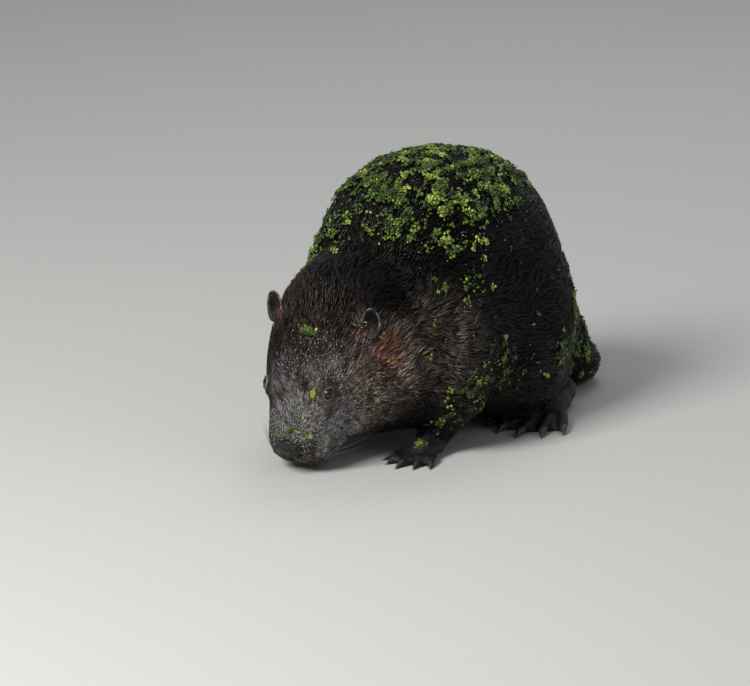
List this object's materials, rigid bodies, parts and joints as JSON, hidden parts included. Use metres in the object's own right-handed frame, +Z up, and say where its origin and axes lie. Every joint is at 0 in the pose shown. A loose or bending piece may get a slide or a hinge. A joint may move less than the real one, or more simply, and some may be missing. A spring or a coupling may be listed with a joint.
{
  "type": "beaver",
  "caption": "Crouching adult North American beaver, arched back, head lowered to feed, flat scaly tail on the floor behind, wet coat flecked with duckweed.",
  "frame": {"origin": "middle of the footprint's bounding box, on the floor", "axes": "+Z up, the animal faces -Y and its left side is +X, tail towards +Y"},
  "size_m": [0.3248, 0.647, 0.2576],
  "materials": {
    "fur": "wet dark brown fur lying flat in thin clumps, rusty below the ear, silvery wet sheen on forehead and muzzle",
    "skin": "bare black-brown wet skin of hands, feet and ears",
    "nose": "glossy black nose pad",
    "eye": "dark wet eye",
    "claw": "dark horn claws",
    "tail_scales": "dark leathery tail with flat scales",
    "duckweed": "fresh green duckweed fronds stuck to the wet coat",
    "water": "small clear water drops clinging to the coat"
  },
  "bodies": {
    "root": {"trunk": "fur", "neck": "fur", "head": "fur", "jaw": "fur", "nose": "nose", "eye_left": "eye", "eye_right": "eye", "ear_left": "skin", "ear_right": "skin", "thigh_left": "fur", "thigh_right": "fur", "shank_left": "fur", "shank_right": "fur", "foot_left": "skin", "foot_right": "skin", "upper_arm_left": "fur", "upper_arm_right": "fur", "forearm_left": "fur", "forearm_right": "fur", "hand_left": "skin", "hand_right": "skin", "tail_base": "fur", "tail_paddle": "tail_scales"}
  },
  "joints": []
}
